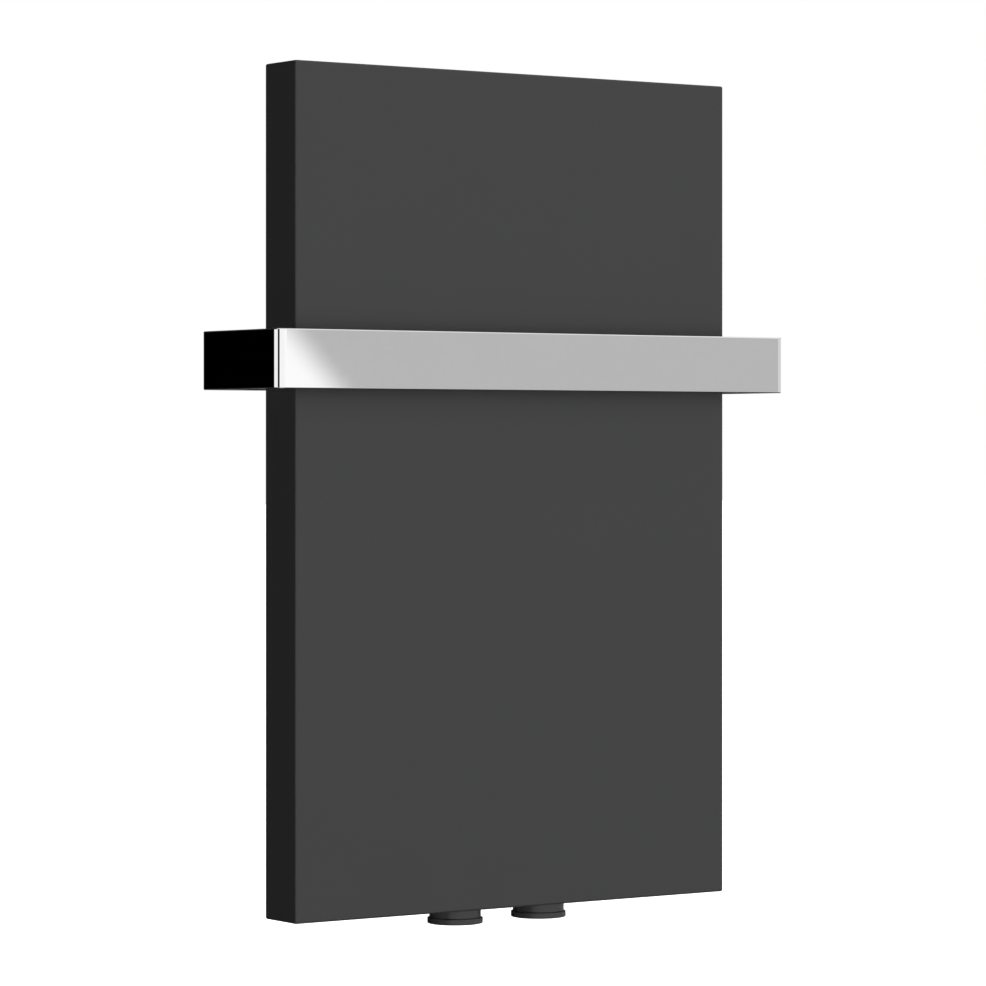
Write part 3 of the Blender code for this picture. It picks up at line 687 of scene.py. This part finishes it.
def air_vent():
    """Hexagon body and slotted bleed screw, standing on the collector."""
    low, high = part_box("air_vent_body")
    centre = (low + high) / 2
    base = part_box("air_vent_gasket")[1].z
    hexagon = chamfered_hex(VENT_HEX, base + 0.0003, base + 0.0053)
    top = [(0.0029, high.z), (0.0065, high.z), (0.0065, base + 0.0053, 0.0008)]
    spigot = [
        (0.0060, base + 0.0003),
        (0.0060, low.z),
        (0.0012, low.z),
        (0.0012, base - 0.0004),
        (0.0029, base + 0.0012),
    ]
    profile = top + hexagon + spigot
    body = lathe("air_vent_body", profile, edge=0.0003, segments=72, closed=True, flats=VENT_HEX)
    stand_for("air_vent_body", body, "nickel_brass", Matrix.Translation((centre.x, centre.y, 0)))

    low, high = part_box("bleed_screw")
    neck = high.z - 0.0061
    profile = [
        (0.0042, high.z),
        (0.0048, high.z - 0.0008),
        (0.0048, neck),
        (0.0025, neck),
        (0.0025, low.z + 0.0025),
        (0.0008, low.z + 0.0004),
    ]
    screw = lathe("bleed_screw", profile, edge=0.0003, segments=48)
    slot = block("slot", (0.02, 0.0014, 0.004), 0.0003, 0.0003)
    slot.transform(Matrix.Translation((0, 0, high.z)))
    screw = modified(boolean(screw, "DIFFERENCE", slot), softened(0.00012, 2))
    stand_for("bleed_screw", screw, "brass", Matrix.Translation((centre.x, centre.y, 0)))


def knob(side, place):
    """Hand wheel: a cup with a wider rim round its lower end, and the cap under it."""
    low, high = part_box(f"{side}_knob")
    rim = (high.x - low.x) / 2
    skirt = rim - KNOB_RIM_STEP
    bore = skirt - KNOB_WALL
    section = [
        (skirt, high.z, 0.0005),
        (skirt, low.z + 0.0061, 0.0003),
        (rim, low.z + 0.0056, 0.0008),
        (rim, low.z, 0.0010),
        (0.0093, low.z, 0.0004),
        (0.0093, low.z + 0.002, 0),
        (0.0040, low.z + 0.002, 0),
        (0.0040, low.z + 0.0049, 0),
        (0.0023, low.z + 0.0049, 0),
        (0.0023, low.z + 0.0083, 0),
        (0.0053, low.z + 0.0083, 0),
        (0.0053, low.z + 0.0156, 0.0003),
        (0.0080, low.z + 0.0156, 0.0003),
        (0.0080, low.z + 0.0055, 0.0005),
        (bore, low.z + 0.0055, 0.001),
        (bore, high.z, 0.0005),
    ]
    wheel = lathe(f"{side}_knob", section, segments=128, closed=True, steps=4)
    stand_for(f"{side}_knob", wheel, "knob_plastic", place)

    low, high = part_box(f"{side}_knob_cap")
    radius = (high.x - low.x) / 2
    profile = [
        (radius, high.z),
        (radius, low.z, 0.0004),
        (radius - 0.0012, low.z, 0.0004),
        (radius - 0.0018, low.z + CAP_DISH),
    ]
    stand_for(f"{side}_knob_cap", lathe(f"{side}_knob_cap", profile, segments=64), "knob_plastic", place)


def valve_body(side, place):
    """Cast body: the upright barrel and the port to the wall, with rounded joins."""
    node = f"{side}_valve_body"
    low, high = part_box(node)
    barrel = lathe(
        node,
        [
            (BARREL_TOP_RADIUS, high.z),
            (BARREL_TOP_RADIUS, high.z - 0.004),
            (BARREL_RADIUS, high.z - 0.008),
            (BARREL_RADIUS, low.z),
        ],
        edge=0.0015,
        segments=48,
    )
    reach = high.y - VALVE_Y
    port = lathe("port", [(PORT_RADIUS, reach), (PORT_RADIUS, 0)], segments=48)
    port.transform(Matrix.Translation((0, 0, PORT_Z)) @ ALONG_Y)
    chamber = [
        (0.0075, 0.080),
        (0.0075, VALVE_SEAT + 0.0035),
        (0.0057, VALVE_SEAT + 0.0015),
        (0.0057, VALVE_SEAT),
        (0.0112, VALVE_SEAT),
        (0.0112, 0.020),
    ]
    port_bore = lathe("port_bore", [(PORT_BORE, 0.040), (PORT_BORE, 0)], segments=32)
    port_bore.transform(Matrix.Translation((0, 0, PORT_Z)) @ ALONG_Y)
    cast = boolean(barrel, "UNION", port)
    cast = boolean(cast, "DIFFERENCE", lathe("chamber", chamber, segments=48))
    cast = modified(
        boolean(cast, "DIFFERENCE", port_bore),
        ("REMESH", {"mode": "VOXEL", "voxel_size": 0.0005}),
        ("SMOOTH", {"factor": 0.5, "iterations": 6}),
    )
    stand_for(node, cast, "nickel_brass", place)


def bonnet(side, place):
    """Headwork with its chamfered hexagon under the body."""
    node = f"{side}_bonnet"
    low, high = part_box(node)
    hexagon = chamfered_hex(BONNET_HEX, *BONNET_HEX_ENDS)
    profile = [(0.0107, high.z)] + hexagon
    profile += [(0.0090, BONNET_HEX_ENDS[0]), (0.0090, low.z), (0.0063, low.z), (0.0063, 0.0185)]
    profile += [(0.0034, 0.0185), (0.0034, 0.0365), (0.0057, 0.0365), (0.0057, high.z)]
    mesh = lathe(node, profile, edge=0.0003, segments=72, closed=True, flats=BONNET_HEX)
    stand_for(node, mesh, "nickel_brass", place)


def tail_and_nut(side, place):
    """Tail pipe with the thread at its wall end, and the union nut on the body's port."""
    node = f"{side}_tail"
    low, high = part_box(node)
    centre = centre_of(node)
    near = low.y - VALVE_Y
    far = high.y - VALVE_Y
    turns = [(0.0104, far - 0.0012 - TAIL_THREAD_PITCH / 4 * k, 0) for k in range(TAIL_THREAD_POINTS)]
    section = [(0.0098, far, 0)] + turns
    section += [(0.0104, near + 0.002), (0.0120, near + 0.002), (0.0120, near), (0.0070, near), (0.0070, far)]
    thread = (far - 0.0134, far - 0.0010, TAIL_THREAD_PITCH, TAIL_THREAD_DEPTH)
    across = place @ Matrix.Translation((0, 0, centre.z)) @ ALONG_Y
    stand_for(node, lathe(node, section, edge=0.0003, closed=True, thread=thread), "nickel_brass", across)

    node = f"{side}_union_nut"
    low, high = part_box(node)
    bottom = low.y - VALVE_Y
    top = high.y - VALVE_Y
    section = chamfered_hex(UNION_HEX, bottom, top)
    section += [(0.0124, bottom), (0.0124, top - 0.0035), (0.0107, top - 0.0035), (0.0107, top)]
    nut = lathe(node, section, edge=0.0003, closed=True, flats=UNION_HEX, segments=72)
    nut.transform(Matrix.Rotation(math.radians(30), 4, "Z"))
    stand_for(node, nut, "nickel_brass", across)


def valves():
    for side in ("supply", "return"):
        place = Matrix.Translation((centre_of(f"{side}_knob").x, VALVE_Y, 0))
        knob(side, place)
        valve_body(side, place)
        bonnet(side, place)
        tail_and_nut(side, place)
        keep_cad("stainless", f"{side}_spindle")
        keep_cad("rubber", f"{side}_seat_disc", f"{side}_spindle_seal")
        keep_cad("brass", f"{side}_drive_nut")
        keep_cad("zinc_steel", f"{side}_nut_collar", f"{side}_knob_screw")


def lug(node):
    """Hat-shaped lug, welded to the back of its collector along both feet."""
    low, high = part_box(node)
    t = LUG_SHEET / 2
    centre = (low + high) / 2
    half = (high.x - low.x) / 2
    hat = 0.0125 - t
    near, far = low.y + t, high.y - t
    corners = [(-half, near), (-hat, near), (-hat, far), (hat, far), (hat, near), (half, near)]
    mesh = strip(node, filleted(corners, 0.0016, 4), LUG_SHEET, high.z - low.z, 0.0004, 2)
    stand_for(node, mesh, "steel_coated", Matrix.Translation((centre.x, 0, centre.z)))
    reach = (high.z - low.z) / 2 - 0.001
    bead = weld_bead("lug_weld", [(-reach, 0), (reach, 0)], 0.0012)
    for name, sign in SIDES:
        place = Matrix.Translation((centre.x + sign * half, low.y + 0.0006, centre.z)) @ ALONG_X
        place_piece(f"{node}_{name}_weld", bead.copy(), "steel_coated", "panel", place)


def wall_bracket(node):
    """Plate with two screw holes, and the bent arm whose hook carries a lug."""
    low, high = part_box(node)
    centre = (low + high) / 2
    t = BRACKET_SHEET
    width = high.x - low.x
    plate = block("plate", (width, high.z - low.z, t), 0.0035, 0.0004)
    hole = lathe("hole", [(0.0035, 0.01), (0.0035, -0.01)], segments=32)
    holes = joined("holes", [(hole, Matrix.Translation((0, z, 0))) for z in (-BRACKET_HOLES, BRACKET_HOLES)])
    plate = modified(boolean(plate, "DIFFERENCE", holes), softened(0.0003))
    upright = Matrix.Rotation(math.radians(90), 4, "X")
    plate.transform(Matrix.Translation((centre.x, -t / 2, centre.z)) @ upright)
    hook_top = centre.z + 0.018
    corners = [(-t / 2, centre.z - t / 2), (low.y + t / 2, centre.z - t / 2), (low.y + t / 2, hook_top)]
    arm = strip("arm", filleted(corners, 0.0022, 5), t, width, 0.0004, 2)
    arm.transform(Matrix.Translation((centre.x, 0, 0)) @ OUTLINE_YZ)
    stand_for(node, boolean(plate, "UNION", arm), "zinc_steel")
    bead = weld_bead("arm_weld", [(-width / 2 + 0.001, 0), (width / 2 - 0.001, 0)], 0.0010)
    for name, z in (("upper", centre.z), ("lower", centre.z - t)):
        place = Matrix.Translation((centre.x, -t, z))
        place_piece(f"{node}_{name}_weld", bead.copy(), "zinc_steel", "panel", place)


def hanging():
    for level in ("lower", "upper"):
        for side, _ in SIDES:
            lug(f"{level}_{side}_lug")
            wall_bracket(f"{level}_{side}_wall_bracket")


# ---------------------------------------------------------------- stage


def lerp(tree, first, second, factor):
    return add(tree, "Mix", {"Factor": factor, "A": first, "B": second}).outputs["Result"]


def rise(tree, value, start, end):
    """0 before start, 1 after end, and smooth between them."""
    return remap(tree, value, (start, end), (0, 1), "SMOOTHSTEP")


def math_node(tree, operation, *values):
    return add(tree, "Math", dict(enumerate(values)), operation=operation).outputs["Value"]


def mirrored_studio(tree, direction):
    """What polished metal sees: a pale dome, a dark flag behind it, and bands of light near the horizon."""
    split = add(tree, "SeparateXYZ", {0: direction})
    x, y, z = (split.outputs[axis] for axis in "XYZ")
    azimuth = math_node(tree, "DEGREES", math_node(tree, "ARCTAN2", y, x))
    elevation = math_node(tree, "DEGREES", math_node(tree, "ARCSINE", z))
    horizon = 0.99
    for level, start, end in LEFT_BANDS:
        horizon = lerp(tree, horizon, level, rise(tree, azimuth, start, end))
    slanted = math_node(tree, "MULTIPLY_ADD", elevation, 0.672, azimuth)
    horizon = lerp(tree, horizon, 0.524, rise(tree, slanted, -57.36, -56.68))
    for level, start, end in RIGHT_BANDS:
        horizon = lerp(tree, horizon, level, rise(tree, azimuth, start, end))
    below = lerp(tree, 0.45, 0.03, rise(tree, azimuth, -90, -65))
    below = lerp(tree, below, 0.45, rise(tree, azimuth, 55, 85))
    dome = lerp(tree, below, 0.72, rise(tree, z, -0.45, -0.25))
    dome = lerp(tree, dome, 0.88, rise(tree, z, 0.0, 0.12))
    near_horizon = lerp(tree, 1, 0, rise(tree, z, 0.25, 0.5))
    low = math_node(tree, "MULTIPLY", rise(tree, azimuth, -45, 0), near_horizon)
    dome = lerp(tree, dome, math_node(tree, "MULTIPLY", dome, 0.45), low)
    before_back = lerp(tree, 1, 0, rise(tree, azimuth, 165, 178))
    flag = math_node(tree, "MULTIPLY", rise(tree, azimuth, 45, 65), before_back)
    flag = math_node(tree, "MULTIPLY", flag, lerp(tree, 1, 0, rise(tree, z, 0.7, 0.95)))
    dome = lerp(tree, dome, 0.02, flag)
    reach = lerp(tree, 4, 2.2, rise(tree, azimuth, 110, 118))
    reach = lerp(tree, 30, reach, rise(tree, azimuth, -150, -140))
    outside = math_node(tree, "DIVIDE", math_node(tree, "ABSOLUTE", elevation), reach)
    return lerp(tree, horizon, dome, rise(tree, outside, 0.8, 1.25))


def soft_key(tree, direction):
    """What matt surfaces see: a low, wide light in front, one behind, and what the floor throws back."""
    key = Vector((0.0, -1.0, -0.02)).normalized()
    flattened = add(tree, "VectorMath", {0: direction, 1: (1, 1, 2.1)}, operation="MULTIPLY")
    unit = add(tree, "VectorMath", {0: flattened.outputs["Vector"]}, operation="NORMALIZE").outputs["Vector"]
    facing = add(tree, "VectorMath", {0: unit, 1: key}, operation="DOT_PRODUCT").outputs["Value"]
    lobe = math_node(tree, "POWER", math_node(tree, "MAXIMUM", facing, 0.0), 7)
    split = add(tree, "SeparateXYZ", {0: direction})
    bounce = lerp(tree, 0.30, 0.02, rise(tree, split.outputs["Z"], -0.70, -0.10))
    back = Vector((0.74, 0.52, 0.42)).normalized()
    behind = add(tree, "VectorMath", {0: direction, 1: back}, operation="DOT_PRODUCT").outputs["Value"]
    behind = math_node(tree, "POWER", math_node(tree, "MAXIMUM", behind, 0.0), 3)
    light = math_node(tree, "MULTIPLY_ADD", behind, BACK_STRENGTH, bounce)
    return math_node(tree, "MULTIPLY_ADD", lobe, KEY_STRENGTH, light)


def studio():
    world = bpy.data.worlds.new("studio")
    bpy.context.scene.world = world
    bpy.context.scene.view_settings.view_transform = "Standard"
    world.use_nodes = True
    world.cycles.sampling_method = "NONE"
    tree = world.node_tree
    direction = add(tree, "TexCoord").outputs["Generated"]
    ray = add(tree, "LightPath").outputs
    light = lerp(tree, mirrored_studio(tree, direction), soft_key(tree, direction), ray["Is Diffuse Ray"])
    light = lerp(tree, light, 1.0, ray["Is Camera Ray"])
    background = tree.nodes["Background"]
    tree.links.new(light, background.inputs["Color"])
    background.inputs["Strength"].default_value = 1


def pale_floor():
    """A plain floor under the hung radiator, which the studio keeps out of reflections."""
    work = bmesh.new()
    bmesh.ops.create_grid(work, x_segments=1, y_segments=1, size=40)
    floor = bpy.data.objects.new("floor", mesh_of("floor", work))
    floor.location.z = cad_box[0].z - FLOOR_DROP
    material = bpy.data.materials.new("floor")
    material.use_nodes = True
    shader = material.node_tree.nodes["Principled BSDF"]
    shader.inputs["Base Color"].default_value = (0.95, 0.95, 0.95, 1)
    shader.inputs["Roughness"].default_value = 0.9
    shader.inputs["Emission Color"].default_value = (1, 1, 1, 1)
    shader.inputs["Emission Strength"].default_value = 1
    floor.data.materials.append(material)
    bpy.context.scene.collection.objects.link(floor)
    floor.visible_glossy = False
    floor.visible_diffuse = False


def place_camera():
    ahead = Vector((-math.sin(math.radians(VIEW_AZIMUTH)), math.cos(math.radians(VIEW_AZIMUTH)), 0))
    right = Vector((ahead.y, -ahead.x, 0))
    edge = Vector((COVER_LOW.x, COVER_LOW.y, 0))
    camera = bpy.data.objects.new("camera", bpy.data.cameras.new("camera"))
    camera.location = edge - ahead * VIEW_DISTANCE + right * VIEW_RIGHT + Vector((0, 0, VIEW_HEIGHT))
    camera.rotation_euler = (math.radians(90), 0, math.radians(VIEW_AZIMUTH))
    camera.data.sensor_width = 36
    camera.data.lens = VIEW_LENS
    camera.data.shift_y = VIEW_SHIFT
    bpy.context.scene.collection.objects.link(camera)
    bpy.context.scene.camera = camera


casing()
towel_rail()
rail_fixings()
side_channels()
water_tubes()
collectors()
convector()
air_vent()
valves()
hanging()
keep_cad("steel_coated", "flow_baffle")
keep_cad("rubber", "air_vent_gasket")
studio()
pale_floor()
place_camera()
